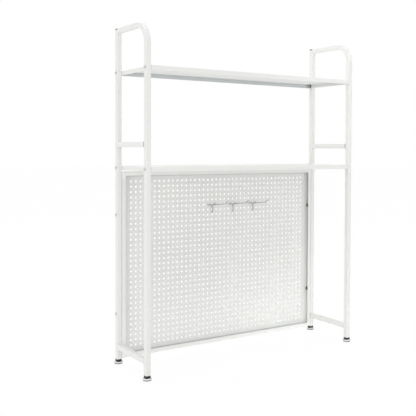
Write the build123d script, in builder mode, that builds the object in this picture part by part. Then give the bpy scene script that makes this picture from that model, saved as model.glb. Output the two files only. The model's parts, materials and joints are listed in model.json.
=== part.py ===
"""A steel desktop hutch: two bent tube side frames, two folded shelves, a folded pegboard,
wire hooks and levelling feet. Millimetres, +Z up, origin on the floor under the middle."""

import os

from build123d import *

# Overall size of the frame, measured over the tubes
frame_width = 750.0
frame_depth = 200.0
frame_height = 980.0

# Square tube of the side frames
tube_side = 15.0
tube_wall = 1.2
tube_corner = 2.0
hoop_bend_radius = 56.0
upper_rung_height = 643.5
lower_rung_height = 50.0

# Black cap in the top end of each rear post
cap_head = 4.0
cap_spigot = 14.0
cap_edge = 0.8
plug_clearance = 0.1

# Levelling feet
sole_thickness = 2.5
sole_diameter = 24.0
pad_thickness = 3.2
pad_diameter = 26.0
pad_edge = 1.0
pad_floor = 0.5
pad_gap = 0.3
plug_flange = 7.0
plug_spigot = 22.0
stud_diameter = 6.0
stud_clearance = 0.05
stud_reach = 18.0

# Folded sheet of the shelves and the pegboard
sheet = 1.0
fold_radius = 1.6
shelf_flange = 13.0
top_shelf_height = 858.0
mid_shelf_height = 582.0

# Pegboard tray, its lips and its grid of holes
board_height = 549.0
board_depth = 15.0
board_gap = 5.0
board_lip = 12.0
peg_pitch = 15.8
peg_hole_diameter = 7.0
peg_columns = 42
peg_rows = 32

# Bolts and nuts
bolt_diameter = 6.0
bolt_hole_clearance = 0.2
bolt_head_diameter = 10.5
bolt_head_height = 2.4
bolt_head_dome = 1.4
bolt_socket = 4.0
bolt_socket_depth = 1.3
bolt_tail = 2.5
nut_flats = 10.0
nut_thickness = 5.0
nut_clearance = 0.05
cap_nut_diameter = 12.4
cap_nut_length = 12.0
cap_nut_dome = 5.0
cap_nut_bore = 9.0
board_bolt_shares = (0.24, 0.77)

# Wire hooks
wire_diameter = 3.0
hook_columns = (-3, 2, 7)
hook_row = 26
hook_drop = 0.9
hook_leg = 26.0
hook_leg_gap = 0.3
hook_bar_gap = 1.0
hook_arm = 74.0
hook_arm_rise = 7.6
hook_tip = 12.0
hook_tip_rise = 8.0
hook_bend_radius = 4.0
prong_gap = 1.0
prong_length = 12.0
prong_bend_radius = 2.0
wire_end_round = 0.6

# Places worked out from the sizes above
half_width = frame_width / 2
half_depth = frame_depth / 2
post_x = half_width - tube_side / 2
post_y = half_depth - tube_side / 2
inner_x = half_width - tube_side
inner_y = half_depth - tube_side
pad_top = sole_thickness + pad_thickness
plug_bottom = pad_top + pad_gap
post_bottom = plug_bottom + plug_flange
post_top = frame_height - cap_head
bar_height = frame_height - tube_side / 2
tube_inside = tube_side - 2 * tube_wall
tube_inside_corner = tube_corner - tube_wall
plug_side = tube_inside - 2 * plug_clearance
shelf_length = 2 * inner_x
board_top = mid_shelf_height - shelf_flange - board_gap
board_bottom = board_top - board_height
board_middle = board_top - board_height / 2
board_front = half_depth - board_depth
panel_face = half_depth - sheet
lip_edge_x = inner_x - board_lip
shelf_bolt_drop = shelf_flange / 2
board_bolt_heights = [board_bottom + board_height * share for share in board_bolt_shares]
bolt_hole_radius = bolt_diameter / 2 + bolt_hole_clearance
hook_height = board_middle + (hook_row + 0.5 - peg_rows / 2) * peg_pitch - hook_drop

SIDES = (("left", -1), ("right", 1))
ENDS = (("front", -1), ("rear", 1))

os.makedirs("parts", exist_ok=True)


def write(builder, name):
    """Label a finished piece and write it as one file."""
    builder.part.label = name
    export_step(builder.part, f"parts/{name}.step")


def tube_section(plane):
    """The hollow rounded square of the tube, drawn on a plane."""
    with BuildSketch(plane) as section:
        RectangleRounded(tube_side, tube_side, tube_corner)
        RectangleRounded(tube_inside, tube_inside, tube_inside_corner, mode=Mode.SUBTRACT)
    return section.sketch


def cross_holes(x, places):
    """Bolt holes along X through both walls of a post at x, at places given as (y, z)."""
    with BuildSketch(Plane.YZ.offset(x)) as holes:
        with Locations(*places):
            Circle(bolt_hole_radius)
    extrude(holes.sketch, amount=tube_side, both=True, mode=Mode.SUBTRACT)


# Side frames: a rear post, a front post bent over into the top bar, and two rungs each
shelf_bolt_heights = [top_shelf_height - shelf_bolt_drop, mid_shelf_height - shelf_bolt_drop]
for side, sign in SIDES:
    x = sign * post_x

    with BuildPart() as rear_post:
        extrude(tube_section(Plane((x, post_y, post_bottom))), amount=post_top - post_bottom)
        cross_holes(x, [(post_y, z) for z in shelf_bolt_heights + board_bolt_heights])
    write(rear_post, f"{side}_rear_post")

    with BuildPart() as front_hoop:
        with BuildLine(Plane.YZ.offset(x)) as hoop_route:
            FilletPolyline(
                (-post_y, post_bottom),
                (-post_y, bar_height),
                (inner_y, bar_height),
                radius=hoop_bend_radius,
            )
        sweep(tube_section(Plane((x, -post_y, post_bottom))), path=hoop_route.line)
        cross_holes(x, [(-post_y, z) for z in shelf_bolt_heights])
    write(front_hoop, f"{side}_front_hoop")

    for level, rung_height in (("upper", upper_rung_height), ("lower", lower_rung_height)):
        with BuildPart() as rung:
            rung_end = Plane((x, -inner_y, rung_height), x_dir=(1, 0, 0), z_dir=(0, 1, 0))
            extrude(tube_section(rung_end), amount=2 * inner_y)
        write(rung, f"{side}_{level}_rung")

    with BuildPart() as top_cap:
        with BuildSketch(Plane((x, post_y, post_top))):
            RectangleRounded(tube_side, tube_side, tube_corner)
        extrude(amount=cap_head)
        chamfer(top_cap.faces().sort_by(Axis.Z)[-1].edges(), cap_edge)
        with BuildSketch(Plane((x, post_y, post_top))):
            RectangleRounded(plug_side, plug_side, tube_inside_corner)
        extrude(amount=-cap_spigot)
    write(top_cap, f"{side}_top_cap")

# Levelling feet: a threaded plug in the tube, a stud, and a pad on a rubber sole
for side, sign in SIDES:
    for end, end_sign in ENDS:
        x, y = sign * post_x, end_sign * post_y

        with BuildPart() as foot_plug:
            with BuildSketch(Plane((x, y, plug_bottom))):
                RectangleRounded(tube_side, tube_side, tube_corner)
            extrude(amount=plug_flange)
            with BuildSketch(Plane((x, y, post_bottom))):
                RectangleRounded(plug_side, plug_side, tube_inside_corner)
            extrude(amount=plug_spigot)
            with BuildSketch(Plane((x, y, plug_bottom))):
                Circle(stud_diameter / 2 + stud_clearance)
            extrude(amount=plug_flange + plug_spigot, mode=Mode.SUBTRACT)
        write(foot_plug, f"{side}_{end}_foot_plug")

        with BuildPart() as foot_stud:
            with BuildSketch(Plane((x, y, sole_thickness + pad_floor))):
                Circle(stud_diameter / 2)
            extrude(amount=post_bottom + stud_reach - sole_thickness - pad_floor)
        write(foot_stud, f"{side}_{end}_foot_stud")

        with BuildPart() as foot_pad:
            with BuildSketch(Plane((x, y, sole_thickness))):
                Circle(pad_diameter / 2)
            extrude(amount=pad_thickness)
            fillet(foot_pad.faces().sort_by(Axis.Z)[-1].edges(), pad_edge)
            with BuildSketch(Plane((x, y, pad_top))):
                Circle(stud_diameter / 2 + stud_clearance)
            extrude(amount=pad_floor - pad_thickness, mode=Mode.SUBTRACT)
        write(foot_pad, f"{side}_{end}_foot_pad")

        with BuildPart() as foot_sole:
            with BuildSketch(Plane((x, y, 0))):
                Circle(sole_diameter / 2)
            extrude(amount=sole_thickness)
        write(foot_sole, f"{side}_{end}_foot_sole")

# Shelves: one sheet folded down along all four sides, bolted through its ends
for name, shelf_height in (("top_shelf", top_shelf_height), ("mid_shelf", mid_shelf_height)):
    bolt_height = shelf_height - shelf_bolt_drop
    with BuildPart() as shelf:
        with BuildSketch(Plane.XY.offset(shelf_height)):
            Rectangle(shelf_length, frame_depth)
        extrude(amount=-shelf_flange)
        fillet(shelf.edges().filter_by(Axis.Z), fold_radius)
        fillet(shelf.faces().sort_by(Axis.Z)[-1].edges(), fold_radius)
        offset(amount=-sheet, openings=shelf.faces().sort_by(Axis.Z)[0])
        with BuildSketch(Plane.YZ):
            with Locations((-post_y, bolt_height), (post_y, bolt_height)):
                Circle(bolt_hole_radius)
        extrude(amount=inner_x, both=True, mode=Mode.SUBTRACT)
    write(shelf, name)

# Pegboard: a folded tray open to the front, with lips all round and a grid of holes
board_front_plane = Plane((0, board_front, board_middle), x_dir=(1, 0, 0), z_dir=(0, -1, 0))
panel_plane = Plane((0, panel_face, board_middle), x_dir=(1, 0, 0), z_dir=(0, -1, 0))
with BuildPart() as pegboard:
    with BuildSketch(board_front_plane):
        Rectangle(shelf_length, board_height)
        Rectangle(2 * lip_edge_x, board_height - 2 * board_lip, mode=Mode.SUBTRACT)
    extrude(amount=-sheet)
    with BuildSketch(board_front_plane):
        Rectangle(shelf_length, board_height)
        Rectangle(shelf_length - 2 * sheet, board_height - 2 * sheet, mode=Mode.SUBTRACT)
    extrude(amount=sheet - board_depth)
    with BuildSketch(Plane.YZ):
        with Locations(*[(post_y, z) for z in board_bolt_heights]):
            Circle(bolt_hole_radius)
    extrude(amount=inner_x, both=True, mode=Mode.SUBTRACT)
    with BuildSketch(panel_plane, mode=Mode.PRIVATE) as panel:
        Rectangle(shelf_length, board_height)
    peg_holes = [
        Wire.make_circle(peg_hole_diameter / 2, Plane(panel_plane.location * place))
        for place in GridLocations(peg_pitch, peg_pitch, peg_columns, peg_rows)
    ]
    extrude(panel.sketch.face().make_holes(peg_holes), amount=-sheet)
write(pegboard, "pegboard")

# Bolts from outside each post through the folded ends, and the nuts inside them: hex nuts
# under the shelves, domed cap nuts behind the lips of the pegboard
bolt_groups = (
    ("top_shelf", [(y, shelf_bolt_heights[0]) for y in (-post_y, post_y)]),
    ("mid_shelf", [(y, shelf_bolt_heights[1]) for y in (-post_y, post_y)]),
    ("pegboard", [(post_y, z) for z in board_bolt_heights]),
)
bolt_length = tube_side + sheet + nut_thickness + bolt_tail
for group, places in bolt_groups:
    with BuildPart() as bolts:
        for side, sign in SIDES:
            outer_face = Plane.YZ.offset(sign * half_width)
            head_end = Plane.YZ.offset(sign * (half_width + bolt_head_height))
            with BuildSketch(outer_face):
                with Locations(*places):
                    Circle(bolt_head_diameter / 2)
            extrude(amount=sign * bolt_head_height)
            rims = bolts.edges().filter_by(GeomType.CIRCLE).group_by(Axis.X)
            fillet(rims[0] if sign < 0 else rims[-1], bolt_head_dome)
            with BuildSketch(head_end):
                with Locations(*places):
                    RegularPolygon(bolt_socket / 2, 6, major_radius=False)
            extrude(amount=-sign * bolt_socket_depth, mode=Mode.SUBTRACT)
            with BuildSketch(outer_face):
                with Locations(*places):
                    Circle(bolt_diameter / 2)
            extrude(amount=-sign * bolt_length)
    write(bolts, f"{group}_bolts")

    with BuildPart() as nuts:
        for side, sign in SIDES:
            nut_seat = Plane.YZ.offset(sign * (inner_x - sheet))
            bore = nut_thickness
            if group == "pegboard":
                bore = cap_nut_bore
                with BuildSketch(nut_seat):
                    with Locations(*places):
                        Circle(cap_nut_diameter / 2)
                extrude(amount=-sign * cap_nut_length)
                rims = nuts.edges().filter_by(GeomType.CIRCLE).group_by(Axis.X)
                fillet(rims[-1] if sign < 0 else rims[-2], cap_nut_dome)
            else:
                with BuildSketch(nut_seat):
                    with Locations(*places):
                        RegularPolygon(nut_flats / 2, 6, major_radius=False)
                extrude(amount=-sign * nut_thickness)
            with BuildSketch(nut_seat):
                with Locations(*places):
                    Circle(bolt_diameter / 2 + nut_clearance)
            extrude(amount=-sign * bore, mode=Mode.SUBTRACT)
    write(nuts, f"{group}_nuts")

# Hooks: an arm with a leg against the panel, welded to a bar whose two prongs pass the holes
wire_radius = wire_diameter / 2
bar_y = panel_face - hook_bar_gap - wire_radius
leg_y = panel_face - hook_leg_gap - wire_radius
prong_y = half_depth + prong_gap + wire_radius
arm_end = (bar_y - hook_arm, hook_height + hook_arm_rise)
for name, column in zip(("left", "middle", "right"), hook_columns):
    x = (column + 0.5) * peg_pitch
    with BuildPart() as hook:
        with BuildLine(Plane.YZ.offset(x)) as arm_route:
            FilletPolyline(
                (leg_y, hook_height - hook_leg),
                (bar_y, hook_height),
                arm_end,
                (arm_end[0] - hook_tip, arm_end[1] + hook_tip_rise),
                radius=hook_bend_radius,
            )
        with BuildSketch(Plane(arm_route.line @ 0, z_dir=arm_route.line % 0)):
            Circle(wire_radius)
        sweep(path=arm_route.line)
        fillet(hook.edges().filter_by(GeomType.CIRCLE).group_by(Axis.Y)[0], wire_end_round)
        with BuildLine() as bar_route:
            FilletPolyline(
                (x - peg_pitch, prong_y, hook_height + prong_length),
                (x - peg_pitch, prong_y, hook_height),
                (x - peg_pitch, bar_y, hook_height),
                (x + peg_pitch, bar_y, hook_height),
                (x + peg_pitch, prong_y, hook_height),
                (x + peg_pitch, prong_y, hook_height + prong_length),
                radius=prong_bend_radius,
            )
        with BuildSketch(Plane(bar_route.line @ 0, z_dir=bar_route.line % 0)):
            Circle(wire_radius)
        sweep(path=bar_route.line)
    write(hook, f"{name}_hook")
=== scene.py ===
# %% [markdown]
# # A white steel desktop hutch
# The real object is a rack that stands on the back of a desk: two side frames of bent square
# tube, two folded shelves, a perforated board with wire hooks, and four levelling feet.
# The solids come from CAD and stay where they are. This lesson gives every surface its finish,
# and rebuilds the few pieces whose small forms CAD keeps plain, such as threads and folds.

# %% Load the frame
import json
import math

import bmesh
import bpy
from mathutils import Matrix, Vector


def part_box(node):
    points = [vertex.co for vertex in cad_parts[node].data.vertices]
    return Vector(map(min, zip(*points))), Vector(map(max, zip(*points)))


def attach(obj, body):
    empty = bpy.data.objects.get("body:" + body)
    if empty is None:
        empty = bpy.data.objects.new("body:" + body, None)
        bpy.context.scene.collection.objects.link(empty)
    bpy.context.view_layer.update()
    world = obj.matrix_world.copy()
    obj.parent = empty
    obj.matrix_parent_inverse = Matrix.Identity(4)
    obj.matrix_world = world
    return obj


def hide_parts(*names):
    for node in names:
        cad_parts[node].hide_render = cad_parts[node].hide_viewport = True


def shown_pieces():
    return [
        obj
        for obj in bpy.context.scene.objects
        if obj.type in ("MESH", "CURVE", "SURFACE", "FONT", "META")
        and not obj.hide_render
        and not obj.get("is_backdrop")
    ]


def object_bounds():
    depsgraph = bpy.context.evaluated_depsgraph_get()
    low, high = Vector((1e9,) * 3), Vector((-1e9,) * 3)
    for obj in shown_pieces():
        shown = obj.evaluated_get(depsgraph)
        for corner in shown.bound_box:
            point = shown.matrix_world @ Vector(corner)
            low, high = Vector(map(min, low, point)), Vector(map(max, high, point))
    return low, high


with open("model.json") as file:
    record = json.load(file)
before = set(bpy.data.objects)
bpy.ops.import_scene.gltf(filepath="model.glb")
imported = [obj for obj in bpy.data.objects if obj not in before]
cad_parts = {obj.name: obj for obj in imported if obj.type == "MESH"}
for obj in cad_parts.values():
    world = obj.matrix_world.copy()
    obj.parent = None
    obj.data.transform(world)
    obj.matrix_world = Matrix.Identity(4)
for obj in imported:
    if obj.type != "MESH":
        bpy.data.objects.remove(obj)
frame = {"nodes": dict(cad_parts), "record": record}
cad_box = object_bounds()
print("CAD box", [round(side, 4) for side in cad_box[1] - cad_box[0]])

# %% [markdown]
# ## Writing shader maths as Python
# A finish is a small sum: a noise times a number, plus another. Wiring Math nodes by hand hides
# that sum, so one class wraps a socket and lets Python's operators add the Math nodes. A second
# class holds a node tree, and its `node` method makes every other kind of node. A third stands
# for one material, with a method for each thing that a finish does.

# %% Fields and finishes


class Field:
    """A number that changes over a surface."""

    def __init__(self, wiring, socket):
        self.wiring, self.socket = wiring, socket

    def __add__(self, other):
        return self.wiring.math("ADD", self, other)

    def __sub__(self, other):
        return self.wiring.math("SUBTRACT", self, other)

    def __rsub__(self, other):
        return self.wiring.math("SUBTRACT", other, self)

    def __mul__(self, other):
        return self.wiring.math("MULTIPLY", self, other)

    def __truediv__(self, other):
        return self.wiring.math("DIVIDE", self, other)

    def __pow__(self, other):
        return self.wiring.math("POWER", self, other)

    def __abs__(self):
        return self.wiring.math("ABSOLUTE", self)

    def __lt__(self, other):
        return self.wiring.math("LESS_THAN", self, other)

    def __gt__(self, other):
        return self.wiring.math("GREATER_THAN", self, other)

    __radd__, __rmul__ = __add__, __mul__


class Wiring:
    """A node tree and the one method that adds nodes to it."""

    def __init__(self, tree):
        self.tree = tree

    def feed(self, socket, value):
        """Link a field to a socket, or set a constant on it."""
        if isinstance(value, Field):
            self.tree.links.new(value.socket, socket)
        else:
            socket.default_value = value

    def node(self, kind, settings=None, sockets=None, out=0):
        made = self.tree.nodes.new("ShaderNode" + kind)
        for setting, value in (settings or {}).items():
            setattr(made, setting, value)
        for socket, value in (sockets or {}).items():
            self.feed(made.inputs[socket], value)
        return Field(self, made.outputs[out])

    def math(self, operation, *values):
        """A Math node, also for the operations that Python has no operator for."""
        return self.node("Math", {"operation": operation}, dict(enumerate(values)))

    def outputs(self, kind):
        """Every output of a new node, as fields by name."""
        sockets = self.node(kind).socket.node.outputs
        return {socket.name: Field(self, socket) for socket in sockets}

    def axes(self, vector):
        """The x, y and z of a vector, each as a field."""
        split = self.node("SeparateXYZ", sockets={"Vector": vector})
        return [Field(self, socket) for socket in split.socket.node.outputs]

    def seen(self):
        """1 for rays from the camera, off a mirror or through glass."""
        ray = self.outputs("LightPath")
        return ray["Is Camera Ray"] + ray["Is Glossy Ray"] + ray["Is Transmission Ray"]


class Finish(Wiring):
    """One material, with a Principled shader at its end."""

    def __init__(self, name, **constants):
        self.material = bpy.data.materials.new(name)
        self.material.use_nodes = True
        super().__init__(self.material.node_tree)
        self.shader = self.tree.nodes["Principled BSDF"]
        for socket, value in constants.items():
            self.feed(self.shader.inputs[socket.replace("_", " ")], value)

    def place(self):
        """Where a point lies in the object's own metres."""
        return self.node("TexCoord", out="Object")

    def near(self, field, value, reach):
        """1 where a field has a value, falling to 0 at a reach from it."""
        sockets = {
            "Value": abs(field - value), "From Min": 0.0, "From Max": reach,
            "To Min": 1.0, "To Max": 0.0}
        return self.node("MapRange", {"interpolation_type": "SMOOTHSTEP"}, sockets)

    def most(self, first, second):
        """The larger of two fields at each point."""
        return self.math("MAXIMUM", first, second)

    def noise(self, scale, detail=2.0):
        sockets = {"Vector": self.place(), "Scale": scale, "Detail": detail}
        return self.node("TexNoise", sockets=sockets)

    def blend(self, share, first, second):
        """A colour between two others."""
        return self.node("Mix", {"data_type": "RGBA"}, {0: share, 6: first, 7: second}, out=2)

    def colour(self, value):
        self.feed(self.shader.inputs["Base Color"], value)

    def rough(self, value):
        self.feed(self.shader.inputs["Roughness"], value)

    def relief(self, height, depth):
        """Raise the surface by a height field, from 0 to 1, times a depth in metres."""
        bump = self.node("Bump", sockets={"Strength": 1.0, "Distance": depth, "Height": height})
        self.feed(self.shader.inputs["Normal"], bump)


print("shader helpers are ready")

# %% [markdown]
# ## White powder coat
# Powder is sprayed on dry and melts in an oven. It never levels out fully, so up close the coat
# has an orange peel of soft bumps about a millimetre across, and its sheen wanders a little.
# A noise in the object's own metres gives both, and keeps its scale on long and short pieces.

# %% The coat on the tubes
COAT_WHITE, COAT_SHADE = (0.842, 0.846, 0.826, 1), (0.817, 0.821, 0.803, 1)
DRIFT_SCALE, PEEL_SCALE, PEEL_DEPTH = 9, 900, 0.00005
SATIN, PEEL_SHEEN, DRIFT_SHEEN = 0.40, 0.10, 0.06


def powder_coat(name):
    """The satin white coat, with its plain colour and its orange peel kept as fields."""
    coat = Finish(name, Specular_IOR_Level=0.4)
    drift = coat.noise(DRIFT_SCALE, detail=3.0)
    coat.peel = coat.noise(PEEL_SCALE, detail=1.0)
    coat.plain = coat.blend(drift, COAT_WHITE, COAT_SHADE)
    coat.rough(SATIN + coat.peel * PEEL_SHEEN + drift * DRIFT_SHEEN)
    return coat


tube_coat = powder_coat("tube_coat")
tube_coat.colour(tube_coat.plain)
tube_coat.relief(tube_coat.peel, PEEL_DEPTH)
print("made", tube_coat.material.name)

# %% [markdown]
# The upper rungs show a dark grey line where they meet the front posts. A mask that fades along y
# makes the line. The beads of all four rungs share this coat, and the lower ones stay white, so
# the mask also asks for a height.

# %% A dark grey line at the front ends of the upper rungs
RUNG_END_GREY, RUNG_END_REACH, RUNG_END_ABOVE = (0.42, 0.42, 0.41, 1), 0.006, 0.3
rung_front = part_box("left_upper_rung")[0].y
rung_coat = powder_coat("rung_coat")
_, y, z = rung_coat.axes(rung_coat.place())
rung_end_mark = rung_coat.near(y, rung_front, RUNG_END_REACH) * (z > RUNG_END_ABOVE)
rung_coat.colour(rung_coat.blend(rung_end_mark, rung_coat.plain, RUNG_END_GREY))
rung_coat.relief(rung_coat.peel, PEEL_DEPTH)
print("made", rung_coat.material.name)

# %% [markdown]
# ## The coat on the shelves
# A shelf is one sheet folded down on four sides. Shade is painted into the coat inside the folds,
# as a grey that fades out from the folded edges. And where two folds meet at a corner, the edges
# of the sheet butt together and leave a hairline seam. Both follow the shape, so they are masks
# worked out from the distance to the folded edges.

# %% The shelves, with painted shade in the folds, and corner seams
SHEET, FOLD_RADIUS = 0.001, 0.0016
SEAM_HALF, SEAM_DEPTH = 0.00022, 4
END_REACH, END_SHARE, SIDE_REACH = 0.004, 0.4, 0.007
# The first grey is painted shade inside the folds; the second is the dark of the corner seams.
PAINTED_SHADE_GREY, SEAM_GREY = (0.63, 0.655, 0.66, 1), (0.22, 0.22, 0.215, 1)


def shelf_coat(node):
    """The coat of one shelf, fitted to the corner of its box."""
    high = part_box(node)[1]
    coat = powder_coat(node + "_coat")
    x, y, z = coat.axes(coat.place())
    inside = (abs(x) < high.x - SHEET / 2) * (abs(y) < high.y - SHEET / 2)
    inside = inside * (z < high.z - SHEET / 2)
    # Painted shade: a grey inside the folds that fades out from the folded edges.
    ends = coat.near(abs(x), high.x - SHEET, END_REACH) * END_SHARE
    fold = coat.most(ends, coat.near(abs(y), high.y - SHEET, SIDE_REACH))
    along = abs(x) - (high.x - FOLD_RADIUS)
    across = abs(y) - (high.y - FOLD_RADIUS)
    corner = (along > 0) * (across > 0) * (z < high.z - FOLD_RADIUS)
    seam = corner * (abs(along - across) < SEAM_HALF)
    fold_shaded = coat.blend(fold * inside, coat.plain, PAINTED_SHADE_GREY)
    coat.colour(coat.blend(seam, fold_shaded, SEAM_GREY))
    coat.relief(coat.peel - seam * SEAM_DEPTH, PEEL_DEPTH)
    return coat


shelf_coats = {node: shelf_coat(node) for node in ("top_shelf", "mid_shelf")}
print("made", [coat.material.name for coat in shelf_coats.values()])

# %% [markdown]
# ## The coat on the board
# Each hole has a narrow rim a little darker grey, with a slight dip. The holes lie on a square
# grid, so the distance to the nearest centre comes from folding x and z back into one cell.

# %% A rim round each hole of the board
PEG_PITCH, PEG_RADIUS = 0.0158, 0.0035
PEG_COLUMNS, PEG_ROWS = 42, 32
RIM_WIDTH, RIM_SHARE, RIM_DEPTH = 0.0006, 0.5, 3
RIM_GREY = (0.66, 0.665, 0.66, 1)
board_low, board_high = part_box("pegboard")
board_middle = (board_low.z + board_high.z) / 2
board_half = (board_high.z - board_low.z) / 2
grid_half = (PEG_COLUMNS / 2 * PEG_PITCH, PEG_ROWS / 2 * PEG_PITCH)


def hole_rims(coat, x, rise):
    """1 on the rims of the holes, with the rise counted from the middle of the board."""
    column = coat.math("FRACT", x / PEG_PITCH) - 0.5
    row = coat.math("FRACT", rise / PEG_PITCH) - 0.5
    off = (column * column + row * row) ** 0.5 * PEG_PITCH
    field = (abs(x) < grid_half[0]) * (abs(rise) < grid_half[1])
    return coat.near(off, PEG_RADIUS, RIM_WIDTH) * field


print("rims for", PEG_COLUMNS * PEG_ROWS, "holes")

# %% [markdown]
# Behind the lips, shade is painted into the coat again, less towards the base of the board, and a
# narrow painted shadow runs along the edges of the top and bottom lips. Every mask is a distance
# to a line on the board, so it stays on the sheet from every side.

# %% Painted shade behind the lips
# Widths and shares of the painted shade behind the lips and of the painted shadow along the lip
# edges.
LIP, LIP_REACH = 0.012, 0.012
TOP_STRIP, TOP_REACH = 0.001, 0.003
BOTTOM_STRIP, BOTTOM_REACH = 0.0015, 0.004
STRIP_SHARE, BASE_REACH, BASE_SHARE = 0.85, 0.3, 0.65


def painted_lip_shade(coat, x, y, rise):
    """Painted shade: 1 inside the folds, and nearly 1 as painted shadow along the edges of the
    top and bottom lips.
    """
    inside = (abs(x) < board_high.x - SHEET / 2) * (abs(rise) < board_half - SHEET / 2)
    inside = inside * (y > board_low.y + SHEET / 2) * (y < board_high.y - SHEET / 2)
    sides = coat.near(abs(x), board_high.x - SHEET, LIP_REACH)
    fold = coat.most(sides, coat.near(abs(rise), board_half - SHEET, LIP_REACH))
    fold = fold * (1 - coat.near(rise, -board_half, BASE_REACH) * BASE_SHARE)
    top = coat.near(rise, board_half - LIP - TOP_STRIP, TOP_REACH)
    bottom = coat.near(rise, LIP - board_half - BOTTOM_STRIP, BOTTOM_REACH)
    return coat.most(fold, coat.most(top, bottom) * STRIP_SHARE) * inside


print("lips of", LIP, "m")

# %% [markdown]
# The board looks a few percent paler near its top and bottom than over its middle. Lamps alone
# gave that too softly. So that light and shade is painted into the coat: soft masks on the height
# blend the plain white with painted shade over the middle and painted light at the top and
# bottom.

# %% The whole coat of the board
# The first white is painted light for the top and bottom of the board; the second grey is painted
# shade for its middle.
PAINTED_LIGHT_WHITE, PAINTED_SHADE_MIDDLE = (0.94, 0.943, 0.92, 1), (0.775, 0.779, 0.762, 1)
MIDDLE_RISE, MIDDLE_REACH = 0.03, 0.24
MIDDLE_HALF, MIDDLE_FADE = 0.25, 0.09
PALE_REACH, PALE_BASE, PALE_BASE_SHARE = 0.04, 0.22, 0.45
PANEL_DEPTH = SHEET * 1.5


def painted_light_and_shade(coat, x, y, rise):
    """The plain coat, with painted shade over the middle of the panel and painted light at top
    and bottom.
    """
    width = coat.near(coat.most(abs(x), MIDDLE_HALF), MIDDLE_HALF, MIDDLE_FADE)
    middle = coat.near(rise, MIDDLE_RISE, MIDDLE_REACH) * width
    panel = coat.blend(middle * (y > board_high.y - PANEL_DEPTH), coat.plain, PAINTED_SHADE_MIDDLE)
    base = coat.near(rise, -board_half, PALE_BASE) * PALE_BASE_SHARE
    pale = coat.most(coat.near(abs(rise), board_half, PALE_REACH), base)
    return coat.blend(pale, panel, PAINTED_LIGHT_WHITE)


sheet_coat = powder_coat("board_coat")
x, y, z = sheet_coat.axes(sheet_coat.place())
rise = z - board_middle
rims = hole_rims(sheet_coat, x, rise)
# Painted shade behind the lips, and painted shadow along the top and bottom lip edges.
lip_shade_mask = painted_lip_shade(sheet_coat, x, y, rise)
# The panel with its painted light and shade, under the painted shade behind the lips.
painted_panel = sheet_coat.blend(lip_shade_mask, painted_light_and_shade(sheet_coat, x, y, rise), PAINTED_SHADE_GREY)
sheet_coat.colour(sheet_coat.blend(rims * RIM_SHARE, painted_panel, RIM_GREY))
sheet_coat.relief(sheet_coat.peel - rims * RIM_DEPTH, PEEL_DEPTH)
print("made", sheet_coat.material.name)

# %% [markdown]
# ## Plastics and rubber
# The tube plugs are moulded in black and the top caps in dark grey, with the fine even grain of
# a spark eroded mould. The pads under the feet are white and glossier, with a ribbed edge for
# the fingers that turn them. The soles are dull rubber with ring grooves for grip. Ribs and
# rings go round, so they follow the angle and the radius about the middle of each foot.

# %% Black and grey plastic
GRAIN_SCALE, GRAIN_DEPTH = 2600, 0.00006


def moulded(name, dark, pale):
    """Plastic with a grain between two greys."""
    plastic = Finish(name, Specular_IOR_Level=0.45)
    grain = plastic.noise(GRAIN_SCALE, detail=2.0)
    plastic.colour(plastic.blend(grain, (dark, dark, dark, 1), (pale, pale, pale, 1)))
    plastic.rough(0.42 + grain * 0.2)
    plastic.relief(grain, GRAIN_DEPTH)
    return plastic


black_plastic = moulded("black_plastic", 0.018, 0.032)
cap_plastic = moulded("cap_plastic", 0.14, 0.20)
print("made", black_plastic.material.name, cap_plastic.material.name)

# %% White plastic and rubber
RIBS, RIB_FROM, RIB_DEPTH = 48, 0.0112, 0.00018
RING_RATE, RING_DEPTH = 2400, 0.0002
CLOUD_SCALE, BLOOM_SCALE = 220, 500
PAD_WHITE, PAD_CLOUD = (0.88, 0.88, 0.87, 1), (0.85, 0.85, 0.84, 1)
RUBBER, RUBBER_BLOOM = (0.022, 0.022, 0.022, 1), (0.045, 0.045, 0.044, 1)
FOOT_X = sum(corner.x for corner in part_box("right_front_foot_pad")) / 2
FOOT_Y = sum(corner.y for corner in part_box("right_rear_foot_pad")) / 2


def foot_polar(finish):
    """The angle and the radius of a point about the middle of its own foot."""
    x, y, _ = finish.axes(finish.place())
    east, north = abs(x) - FOOT_X, abs(y) - FOOT_Y
    return finish.math("ARCTAN2", north, east), (east * east + north * north) ** 0.5


white_plastic = Finish("white_plastic", Specular_IOR_Level=0.5)
turn, reach = foot_polar(white_plastic)
ribs = white_plastic.math("SINE", turn * RIBS) * (reach > RIB_FROM)
cloud = white_plastic.noise(CLOUD_SCALE, detail=2.0)
white_plastic.colour(white_plastic.blend(cloud, PAD_WHITE, PAD_CLOUD))
white_plastic.rough(0.26 + cloud * 0.1)
white_plastic.relief(ribs * 0.5 + 0.5, RIB_DEPTH)

sole_rubber = Finish("sole_rubber", Specular_IOR_Level=0.3)
_, reach = foot_polar(sole_rubber)
rings = sole_rubber.math("SINE", reach * RING_RATE)
bloom = sole_rubber.noise(BLOOM_SCALE, detail=3.0)
sole_rubber.colour(sole_rubber.blend(bloom, RUBBER, RUBBER_BLOOM))
sole_rubber.rough(0.72 + bloom * 0.15)
sole_rubber.relief(rings * 0.5 + 0.5, RING_DEPTH)
print("made", white_plastic.material.name, sole_rubber.material.name)

# %% [markdown]
# ## Plated and blackened steel
# The bolts and studs are zinc plated: a pale metal with a faint blue to straw cast that changes
# over a few millimetres. The nuts are black oxide, a dull dark grey with a film of oil. The
# hooks are chrome, bright and clean, so only a breath of haze breaks the reflections.

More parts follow.
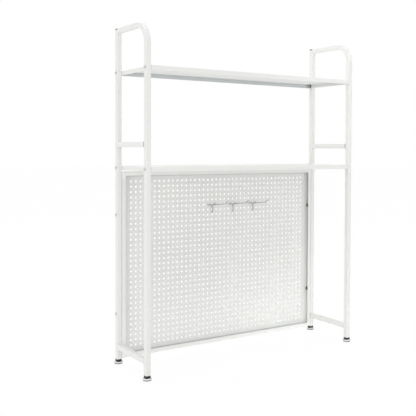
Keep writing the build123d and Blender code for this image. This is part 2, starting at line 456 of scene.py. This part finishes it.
# %% Zinc, black oxide and chrome
ZINC_BLUE, ZINC_STRAW = (0.74, 0.75, 0.77, 1), (0.80, 0.78, 0.73, 1)
OXIDE_DARK, OXIDE_OILY = (0.13, 0.13, 0.135, 1), (0.19, 0.19, 0.18, 1)
CHROME_CLEAR, CHROME_HAZY = (0.52, 0.53, 0.52, 1), (0.46, 0.47, 0.46, 1)
CAST_SCALE, SPECK_SCALE, SPECK_DEPTH = 160, 1800, 0.00003
OIL_SCALE, OIL_DEPTH = 700, 0.00004
HAZE_SCALE, POLISH_SCALE, POLISH_DEPTH = 120, 1500, 0.00001

zinc = Finish("zinc_plate", Metallic=1.0)
cast = zinc.noise(CAST_SCALE, detail=3.0)
speck = zinc.noise(SPECK_SCALE, detail=2.0)
zinc.colour(zinc.blend(cast, ZINC_BLUE, ZINC_STRAW))
zinc.rough(0.26 + speck * 0.16)
zinc.relief(speck, SPECK_DEPTH)

black_oxide = Finish("black_oxide", Metallic=1.0)
oil = black_oxide.noise(OIL_SCALE, detail=3.0)
black_oxide.colour(black_oxide.blend(oil, OXIDE_DARK, OXIDE_OILY))
black_oxide.rough(0.36 + oil * 0.2)
black_oxide.relief(oil, OIL_DEPTH)

chrome = Finish("chrome_plate", Metallic=1.0)
haze = chrome.noise(HAZE_SCALE, detail=4.0)
chrome.colour(chrome.blend(haze, CHROME_CLEAR, CHROME_HAZY))
chrome.rough(0.07 + haze * 0.09)
chrome.relief(chrome.noise(POLISH_SCALE, detail=1.0), POLISH_DEPTH)
print("made", zinc.material.name, black_oxide.material.name, chrome.material.name)

# %% [markdown]
# ## Dressing the CAD pieces
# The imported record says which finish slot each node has. A CAD mesh is left as it is, and only
# its material slots change. The shelves, the top caps and the upper rungs have finishes of their
# own, so those are looked up first.

# %% Give every node its finish
SLOT_FINISH = {
    "white_tube": tube_coat, "white_sheet": sheet_coat, "black_plastic": black_plastic,
    "white_plastic": white_plastic, "black_rubber": sole_rubber, "zinc_steel": zinc,
    "black_steel": black_oxide, "chrome_wire": chrome,
}
own_finish = {"left_top_cap": cap_plastic, "right_top_cap": cap_plastic, **shelf_coats}
own_finish.update({side + "_upper_rung": rung_coat for side in ("left", "right")})
for part in frame["record"]["subparts"]:
    finish = own_finish.get(part["node"], SLOT_FINISH[part["material_slot"]])
    slots = frame["nodes"][part["node"]].data.materials
    slots.clear()
    slots.append(finish.material)
print("dressed", len(frame["nodes"]), "CAD nodes")

# %% [markdown]
# ## Turning a bmesh into a piece
# Each new piece is shaped in a bmesh that already lies where the piece belongs, so its object
# sits at the origin. One helper merges doubles, turns the faces outwards, shades it smooth up
# to an angle, and ties it to the CAD body that it moves with.

# %% Helper that finishes a piece
MERGE, FINE_MERGE = 1e-6, 1e-7


def finish_piece(name, shape, finish, body, replaces=(), angle=35.0):
    bmesh.ops.remove_doubles(shape, verts=shape.verts, dist=FINE_MERGE)
    bmesh.ops.recalc_face_normals(shape, faces=shape.faces)
    mesh = bpy.data.meshes.new(name)
    shape.to_mesh(mesh)
    shape.free()
    mesh.materials.append(finish.material)
    mesh.polygons.foreach_set("use_smooth", [True] * len(mesh.polygons))
    mesh.set_sharp_from_angle(angle=math.radians(angle))
    piece = bpy.data.objects.new(name, mesh)
    bpy.context.scene.collection.objects.link(piece)
    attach(piece, body)
    if replaces:
        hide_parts(*replaces)
    return piece


print("piece helper is ready")

# %% [markdown]
# ## The perforated board
# The board is one sheet: punched with a grid of holes, folded forward on four sides, and folded
# again into lips. Cutting over a thousand holes with Booleans is slow and leaves poor faces.
# So one cell is made by bridging a circle to a square. `spin` with no angle copies it along a
# row and then up the board, and the rim of that grid is drawn out into the folds.

# %% The punched grid, from one cell
HOLE_SIDES = 16


def peg_grid():
    """All holes of the board in one flat sheet, at the back face of the board."""
    shape = bmesh.new()
    bmesh.ops.create_circle(shape, segments=HOLE_SIDES, radius=PEG_RADIUS)
    square = bmesh.ops.create_circle(shape, segments=4, radius=PEG_PITCH / math.sqrt(2))["verts"]
    bmesh.ops.rotate(shape, verts=square, matrix=Matrix.Rotation(math.pi / 4, 3, "Z"))
    sides = [edge for edge in shape.edges if edge.verts[0] in square]
    bmesh.ops.subdivide_edges(shape, edges=sides, cuts=HOLE_SIDES // 4 - 1)
    bmesh.ops.bridge_loops(shape, edges=shape.edges[:])
    bmesh.ops.rotate(shape, verts=shape.verts, matrix=Matrix.Rotation(math.pi / 2, 3, "X"))
    left = (1 - PEG_COLUMNS) / 2 * PEG_PITCH
    lowest = board_middle + (1 - PEG_ROWS) / 2 * PEG_PITCH
    bmesh.ops.translate(shape, verts=shape.verts, vec=(left, board_high.y, lowest))
    for count, step in ((PEG_COLUMNS, (PEG_PITCH, 0, 0)), (PEG_ROWS, (0, 0, PEG_PITCH))):
        cells = shape.verts[:] + shape.edges[:] + shape.faces[:]
        bmesh.ops.spin(
            shape, geom=cells, cent=(0, 0, 0), axis=(0, 1, 0), angle=0.0, dvec=step,
            steps=count - 1, use_duplicate=True)
    bmesh.ops.remove_doubles(shape, verts=shape.verts, dist=MERGE)
    return shape


board = peg_grid()
print("grid of", PEG_COLUMNS * PEG_ROWS, "holes in", len(board.faces), "faces")

# %% [markdown]
# The rim is drawn out three times: to the edge of the board, forward to make the sides, and
# back inwards for the lips. Each time only its half width, its half height and its depth change.
# Bevels on the two folds round them as a press brake does, and `solidify` gives the sheet its
# gauge. The sides keep half a millimetre clear of the posts.

# %% The sides and lips of the board
SLIP, ON_LINE = 0.0005, 1e-5


def on_rim(vert):
    """Whether a vertex of the flat grid lies on its outer edge."""
    across = abs(abs(vert.co.x) - grid_half[0])
    rise = abs(abs(vert.co.z - board_middle) - grid_half[1])
    return min(across, rise) < ON_LINE


def draw_out(shape, rim, start, end, depth):
    """Extrude a rectangular rim from one pair of half sizes to another, at a depth in y."""
    made = bmesh.ops.extrude_edge_only(shape, edges=rim)["geom"]
    verts = [item for item in made if isinstance(item, bmesh.types.BMVert)]
    grow = (end[0] / start[0], 1, end[1] / start[1])
    centre = Matrix.Translation((0, 0, -board_middle))
    bmesh.ops.scale(shape, verts=verts, vec=grow, space=centre)
    bmesh.ops.translate(shape, verts=verts, vec=(0, depth - verts[0].co.y, 0))
    fresh = set(verts)
    edges = [item for item in made if isinstance(item, bmesh.types.BMEdge)]
    return [edge for edge in edges if fresh.issuperset(edge.verts)]


full = (board_high.x - SLIP, board_half)
lipped = (full[0] - LIP, full[1] - LIP)
rim = [edge for edge in board.edges if edge.is_boundary and all(map(on_rim, edge.verts))]
back_fold = draw_out(board, rim, grid_half, full, board_high.y)
front_fold = draw_out(board, back_fold, full, full, board_low.y)
draw_out(board, front_fold, full, lipped, board_low.y)
bmesh.ops.bevel(
    board, geom=back_fold + front_fold, offset=FOLD_RADIUS, offset_type="OFFSET", affect="EDGES",
    segments=3, profile=0.5, material=-1)
bmesh.ops.recalc_face_normals(board, faces=board.faces)
bmesh.ops.solidify(board, geom=board.faces[:], thickness=SHEET)
sheet_board = finish_piece(
    "pegboard_sheet", board, sheet_coat, "frame", ["pegboard"])
print("board", len(sheet_board.data.polygons), "faces")
lowest, highest = (sheet_board.bound_box[corner] for corner in (0, 6))
print("its size", [round(high - low, 5) for low, high in zip(lowest, highest)])

# %% [markdown]
# ## Screw threads
# A thread is a notch that climbs as it goes round. A short zigzag of two edges is spun about
# the axis, and `dvec` lifts it a little at each step, so one turn climbs exactly one pitch.
# Cutting the result square at both ends and closing the cuts gives a real threaded rod.

# %% Helper that makes a threaded rod along Z
THREAD_PITCH, THREAD_STEPS = 0.001, 20
THREAD_DEPTH = 0.55 * THREAD_PITCH


def threaded_rod(shape, radius, start, end):
    """A thread from height start to height end, with its crests at the radius."""
    turns = math.ceil((end - start) / THREAD_PITCH) + 2
    root, bottom = radius - THREAD_DEPTH, start - THREAD_PITCH
    zigzag = ((root, -THREAD_PITCH / 2), (radius, 0), (root, THREAD_PITCH / 2))
    ridge = [shape.verts.new((out, 0, bottom + height)) for out, height in zigzag]
    edges = [shape.edges.new(pair) for pair in zip(ridge, ridge[1:])]
    bmesh.ops.spin(
        shape, geom=ridge + edges, axis=(0, 0, 1), cent=(0, 0, 0), angle=math.tau * turns,
        dvec=(0, 0, THREAD_PITCH / THREAD_STEPS), steps=THREAD_STEPS * turns, use_merge=False)
    bmesh.ops.remove_doubles(shape, verts=shape.verts, dist=MERGE)
    for height, up in ((start, -1), (end, 1)):
        everything = shape.verts[:] + shape.edges[:] + shape.faces[:]
        cut = bmesh.ops.bisect_plane(
            shape, geom=everything, plane_co=(0, 0, height), plane_no=(0, 0, up),
            clear_outer=True)
        rim = [e for e in cut["geom_cut"] if isinstance(e, bmesh.types.BMEdge)]
        bmesh.ops.triangle_fill(shape, use_beauty=True, edges=rim)
    return shape


print("thread helper is ready")

# %% [markdown]
# ## The levelling studs
# Each foot turns on a stud that screws into the plug of its post. At rest the stud hardly
# shows. When the foot is screwed out for an uneven desk, the bare thread is what you see.

# %% Threaded studs in place of the plain ones
for node in [n for n in frame["nodes"] if n.endswith("_foot_stud")]:
    low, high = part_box(node)
    rod = threaded_rod(bmesh.new(), (high.x - low.x) / 2, low.z, high.z)
    middle = (low + high) / 2
    bmesh.ops.translate(rod, verts=rod.verts, vec=(middle.x, middle.y, 0))
    stud = finish_piece(node + "_thread", rod, zinc, node + "_body", [node])
print("made 4 threaded studs,", len(stud.data.polygons), "faces each")

# %% [markdown]
# ## Rings and hexagons
# A bolt or a nut is a stack of loops: circles, and hexagons where a key goes. If a hexagon has
# its sides divided so that it has as many corners as the circle, `bridge_loops` joins the two
# with clean faces. So each is written as a short list of loops from one end to the other.

# %% Helper that joins a stack of loops
LOOP, HEX = 24, 6


def loop(shape, kind, radius, height):
    """A circle of that radius, or a hexagon with that half width across flats."""
    sides = LOOP if kind == "circle" else HEX
    size = radius if kind == "circle" else radius / math.cos(math.pi / HEX)
    ring = bmesh.ops.create_circle(shape, segments=sides, radius=size)["verts"]
    edges = list(dict.fromkeys(edge for vert in ring for edge in vert.link_edges))
    if sides == HEX:
        cut = bmesh.ops.subdivide_edges(shape, edges=edges, cuts=LOOP // HEX - 1)
        edges = [e for e in cut["geom"] if isinstance(e, bmesh.types.BMEdge)]
    verts = list(dict.fromkeys(vert for edge in edges for vert in edge.verts))
    bmesh.ops.translate(shape, verts=verts, vec=(0, 0, height))
    return edges


def stack(shape, loops):
    """Bridge each loop to the next, and return the edges of the first and the last."""
    made = [loop(shape, *item) for item in loops]
    for below, above in zip(made, made[1:]):
        bmesh.ops.bridge_loops(shape, edges=below + above)
    return made[0], made[-1]


print("loops have", LOOP, "corners")

# %% [markdown]
# ## Bolts and nuts
# The shelves and the board hang on button head bolts. Each passes a post and the folded end of
# the sheet. Under a shelf a black hexagon nut holds it from inside, and behind the board a domed
# nut does, which the CAD already has. The head has a domed top with a hexagon socket, and the
# thread shows where the bolt comes out of the nut.

# %% One bolt and one nut, standing on Z
HEAD_RADIUS, HEAD_HEIGHT, HEAD_SKIRT, HEAD_EDGE = 0.00525, 0.0024, 0.0008, 0.0002
DOME_REACH, DOME_TURNS, DOME_FLAT = 0.0016, (72, 50, 25, 0), 0.0021
SOCKET_HALF, SOCKET_DEPTH = 0.002, 0.0013
BOLT_RADIUS, NUT_HALF, NUT_HEIGHT = 0.003, 0.005, 0.005
BORE_GAP, CHAMFER, CORNER_RISE = 0.00005, 0.0003, 0.0006
TUBE_SIDE, TAIL = 0.015, 0.0025


def dome_loop(turn):
    """One circle of the domed head, at an angle up from its skirt."""
    radius = HEAD_RADIUS - DOME_REACH * (1 - math.cos(turn))
    return "circle", radius, HEAD_SKIRT + (HEAD_HEIGHT - HEAD_SKIRT) * math.sin(turn)


def bolt():
    """The head stands on z = 0 and the shank goes down from there."""
    shape = bmesh.new()
    nut_end = -(TUBE_SIDE + SHEET + NUT_HEIGHT)
    thread_top = nut_end + NUT_HEIGHT / 2
    threaded_rod(shape, BOLT_RADIUS, nut_end - TAIL, thread_top)
    socket_floor, _ = stack(shape, [
        ("hexagon", SOCKET_HALF, HEAD_HEIGHT - SOCKET_DEPTH),
        ("hexagon", SOCKET_HALF, HEAD_HEIGHT - HEAD_EDGE),
        ("hexagon", SOCKET_HALF + HEAD_EDGE, HEAD_HEIGHT),
        ("circle", HEAD_RADIUS - DOME_FLAT, HEAD_HEIGHT),
        *(dome_loop(math.radians(degrees)) for degrees in DOME_TURNS),
        ("circle", HEAD_RADIUS, HEAD_EDGE), ("circle", HEAD_RADIUS - HEAD_EDGE, 0),
        ("circle", BOLT_RADIUS, 0), ("circle", BOLT_RADIUS, thread_top)])
    bmesh.ops.edgeloop_fill(shape, edges=socket_floor)
    return shape


def nut():
    """A hexagon nut with its corners turned off at both faces, standing on z = 0."""
    shape = bmesh.new()
    bore, face = BOLT_RADIUS + BORE_GAP, NUT_HALF - CHAMFER
    first, last = stack(shape, [
        ("circle", bore + CHAMFER, 0), ("circle", face, 0), ("hexagon", NUT_HALF, CORNER_RISE),
        ("hexagon", NUT_HALF, NUT_HEIGHT - CORNER_RISE), ("circle", face, NUT_HEIGHT),
        ("circle", bore + CHAMFER, NUT_HEIGHT), ("circle", bore, NUT_HEIGHT - CHAMFER),
        ("circle", bore, CHAMFER)])
    bmesh.ops.bridge_loops(shape, edges=first + last)
    return shape


patterns = {}
for name, make in (("bolt", bolt), ("nut", nut)):
    pattern = make()
    bmesh.ops.recalc_face_normals(pattern, faces=pattern.faces)
    patterns[name] = bpy.data.meshes.new(name + "_pattern")
    pattern.to_mesh(patterns[name])
    print("a", name, "has", len(pattern.faces), "faces")
    pattern.free()

# %% [markdown]
# The places come from the CAD groups: each holds four bolts, two a side, at two places in Y or
# Z. The pattern is copied to each place with its axis turned to point out of the side frame.

# %% Copy the bolts and nuts to their places
SIDE_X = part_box("right_rear_post")[1].x
NUT_X = SIDE_X - TUBE_SIDE - SHEET - NUT_HEIGHT
FASTENER_ANGLE = 30


def places(node):
    """The side, y and z of the four bolts, from the box of the group and the size of a head."""
    low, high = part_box(node)
    ys, zs = ({round(low[i] + HEAD_RADIUS, 4), round(high[i] - HEAD_RADIUS, 4)} for i in (1, 2))
    return [(side, y, z) for side in (-1, 1) for y in sorted(ys) for z in sorted(zs)]


def copies(kind, spots, out):
    """A pattern copied to each spot, at a distance out from the middle of the hutch."""
    shape = bmesh.new()
    for side, y, z in spots:
        turn = Matrix.Rotation(math.radians(90 * side), 4, "Y")
        known = set(shape.verts)
        shape.from_mesh(patterns[kind])
        fresh = [vert for vert in shape.verts if vert not in known]
        placed = Matrix.Translation((side * out, y, z)) @ turn
        bmesh.ops.transform(shape, verts=fresh, matrix=placed)
    return shape


for group in ("top_shelf", "mid_shelf", "pegboard"):
    spots = places(group + "_bolts")
    finish_piece(
        group + "_button_bolts", copies("bolt", spots, SIDE_X), zinc, "frame",
        [group + "_bolts"], FASTENER_ANGLE)
    if group != "pegboard":
        finish_piece(
            group + "_hex_nuts", copies("nut", spots, NUT_X), black_oxide, "frame",
            [group + "_nuts"], FASTENER_ANGLE)
    print(group, len(spots), "bolts")

# %% [markdown]
# ## Weld beads
# The rungs and the top bars are welded to the posts before coating. A bead is a row of melted
# drops, each lapping the last. Small flattened balls set close together along the joint give
# the rippled look, and the coat on top softens it.

# %% Beads where tubes meet
BEAD_RADIUS, BEAD_STEP, BEAD_INSET = 0.0014, 0.0011, 0.0012
RIPPLE, RIPPLE_RATE, BEAD_ANGLE = 0.12, 2.4, 80


def bead(shape, start, end):
    """A row of lapping drops from one point to another."""
    count = max(2, round((end - start).length / BEAD_STEP))
    for i in range(count + 1):
        spot = start.lerp(end, i / count)
        swell = 1 + RIPPLE * math.sin(i * RIPPLE_RATE)
        matrix = Matrix.Translation(spot) @ Matrix.Diagonal((swell, 1, swell, 1))
        bmesh.ops.create_uvsphere(
            shape, u_segments=8, v_segments=6, radius=BEAD_RADIUS, matrix=matrix)


def bead_across(shape, low, high, y, z):
    """A bead across a tube, from one side of its box to the other."""
    bead(shape, Vector((low.x + BEAD_INSET, y, z)), Vector((high.x - BEAD_INSET, y, z)))


for node in [n for n in frame["nodes"] if n.endswith("_rung")]:
    low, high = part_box(node)
    shape = bmesh.new()
    for y in (low.y, high.y):
        for z in (low.z, high.z):
            bead_across(shape, low, high, y, z)
    welds = finish_piece(
        node + "_welds", shape, rung_coat, "frame", angle=BEAD_ANGLE)
for side in ("left", "right"):
    low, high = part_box(side + "_front_hoop")
    shape = bmesh.new()
    bead_across(shape, low, high, high.y, high.z - TUBE_SIDE)
    finish_piece(
        side + "_top_bar_weld", shape, tube_coat, "frame", angle=BEAD_ANGLE)
print("welded 4 rungs and 2 top bars,", len(welds.data.polygons), "faces a rung")

# %% [markdown]
# ## Stage, light and camera
# The hutch stands on a white sweep. The floor is plain white, and rays from the camera or from
# a mirror see it near full white, so that the background stays clean and the chrome shows it.
# The feet screw out by 8 mm, so the floor lies just under the lowest point that they reach.

# %% White floor
FOOT_TRAVEL, PAPER_GAP, FLOOR_HALF = 0.008, 0.0002, 30
PAPER_WHITE, SEEN_WHITE = (0.94, 0.94, 0.94, 1), 0.96
floor_shape = bmesh.new()
bmesh.ops.create_grid(floor_shape, x_segments=1, y_segments=1, size=FLOOR_HALF)
floor_mesh = bpy.data.meshes.new("floor")
floor_shape.to_mesh(floor_mesh)
floor_shape.free()
floor = bpy.data.objects.new("floor", floor_mesh)
floor.location.z = -FOOT_TRAVEL - PAPER_GAP
bpy.context.scene.collection.objects.link(floor)
floor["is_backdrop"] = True

paper = Finish("white_paper", Roughness=0.9, Specular_IOR_Level=0.1)
paper.colour(PAPER_WHITE)
glow = paper.node("Emission", sockets={"Color": (1, 1, 1, 1), "Strength": 1.0})
lit = Field(paper, paper.shader.outputs[0])
mixed = paper.node("MixShader", sockets={0: paper.seen() * SEEN_WHITE, 1: lit, 2: glow})
paper.feed(paper.tree.nodes["Material Output"].inputs["Surface"], mixed)
floor_mesh.materials.append(paper.material)
print("floor at", round(floor.location.z, 4))

# %% [markdown]
# The sky is even and white. Only metal sees more than that: a studio is dark behind the camera,
# and it is this dark that draws the dark strokes on chrome wire. So glossy rays that leave
# towards the front and the left, below the ceiling, meet a dim room instead of the white sweep.

# %% The white room
SKY_LIGHT, DARK_ROOM = 0.868, 0.88
ROOM_RIGHT, ROOM_BACK, ROOM_CEILING = 0.5, 0.3, 0.6
world = bpy.data.worlds.new("white_room")
bpy.context.scene.world = world
world.use_nodes = True
sky = Wiring(world.node_tree)
glossy = sky.outputs("LightPath")["Is Glossy Ray"]
across, forth, up = sky.axes(sky.node("TexCoord", out="Generated"))
room = (across < ROOM_RIGHT) * (forth < ROOM_BACK) * (up < ROOM_CEILING) * glossy
light = SKY_LIGHT + sky.seen() * (1 - SKY_LIGHT) - room * DARK_ROOM
sky.feed(sky.tree.nodes["Background"].inputs["Strength"], light)
sky.feed(sky.tree.nodes["Background"].inputs["Color"], (1, 1, 1, 1))
print("sky light", SKY_LIGHT)

# %% [markdown]
# The sky gives most of the light. Large soft lamps from the left and the front shade one face of
# each tube against the next. Two small ones with a narrow spread lift the far posts near the desk
# and at the top, where the photograph is paler, and one behind keeps the back from going grey.

# %% Soft lamps
middle = (cad_box[0] + cad_box[1]) / 2


def soft_lamp(name, place, size, watts, aim=middle, spread=180):
    lamp = bpy.data.lights.new(name, "AREA")
    lamp.shape, lamp.size, lamp.energy = "DISK", size, watts
    lamp.spread = math.radians(spread)
    stand = bpy.data.objects.new(name, lamp)
    stand.location = place
    stand.rotation_euler = (Vector(aim) - Vector(place)).to_track_quat("-Z", "Y").to_euler()
    bpy.context.scene.collection.objects.link(stand)


# place, size in metres and watts, and for a narrow lamp its aim and its spread in degrees
LAMPS = {
    "overhead": ((-0.2, -0.3, 3.5), 2.0, 14),
    "left": ((-11.0, -6.0, 1.7), 6.0, 165),
    "front": ((-5.2, -8.2, 1.1), 2.4, 28),
    "low": ((-0.6, -2.0, 0.35), 0.5, 0.08, (0.32, 0.1, 0.05), 14),
    "high": ((-0.6, -2.0, 0.85), 0.5, 0.06, (0.40, 0.0, 0.84), 14),
    "back": ((0.2, 2.6, 2.6), 1.2, 20),
}
for name, settings in LAMPS.items():
    soft_lamp(name, *settings)
print(len(LAMPS), "soft lamps")

# %% [markdown]
# The camera stands in front and to the left, a little above the board. Its place, turn and
# lens were fitted to the edges of the posts and shelves in the photograph, in pixels of its
# 416 by 416 frame. The small shift stands for the part of the picture that was cropped away.

# %% Camera fitted to the photograph
PICTURE = 416
EYE = (-1.24530, -1.81228, 0.62922)
YAW, PITCH, ROLL = 0.5870, -0.0298, 0.0043
FOCAL, CENTRE = 708.69, (228.80, 170.58)
SENSOR = 36.0

camera_data = bpy.data.cameras.new("camera")
camera_data.sensor_width = SENSOR
camera_data.lens = FOCAL / PICTURE * SENSOR
camera_data.shift_x = ((PICTURE - 1) / 2 - CENTRE[0]) / PICTURE
camera_data.shift_y = (CENTRE[1] - (PICTURE - 1) / 2) / PICTURE
camera = bpy.data.objects.new("camera", camera_data)
level = math.cos(PITCH)
ahead = Vector((math.sin(YAW) * level, math.cos(YAW) * level, math.sin(PITCH)))
turned = ahead.to_track_quat("-Z", "Y").to_matrix().to_4x4() @ Matrix.Rotation(ROLL, 4, "Z")
camera.matrix_world = Matrix.Translation(EYE) @ turned
bpy.context.scene.collection.objects.link(camera)
bpy.context.scene.camera = camera
bpy.context.scene.view_settings.view_transform = "Standard"
shift = [round(value, 4) for value in (camera_data.shift_x, camera_data.shift_y)]
print("lens", round(camera_data.lens, 2), "shift", shift)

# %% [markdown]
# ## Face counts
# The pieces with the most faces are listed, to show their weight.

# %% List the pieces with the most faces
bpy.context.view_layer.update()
for mesh_piece in sorted(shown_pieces(), key=lambda piece: -len(piece.data.polygons))[:4]:
    print(mesh_piece.name, len(mesh_piece.data.polygons), "faces")
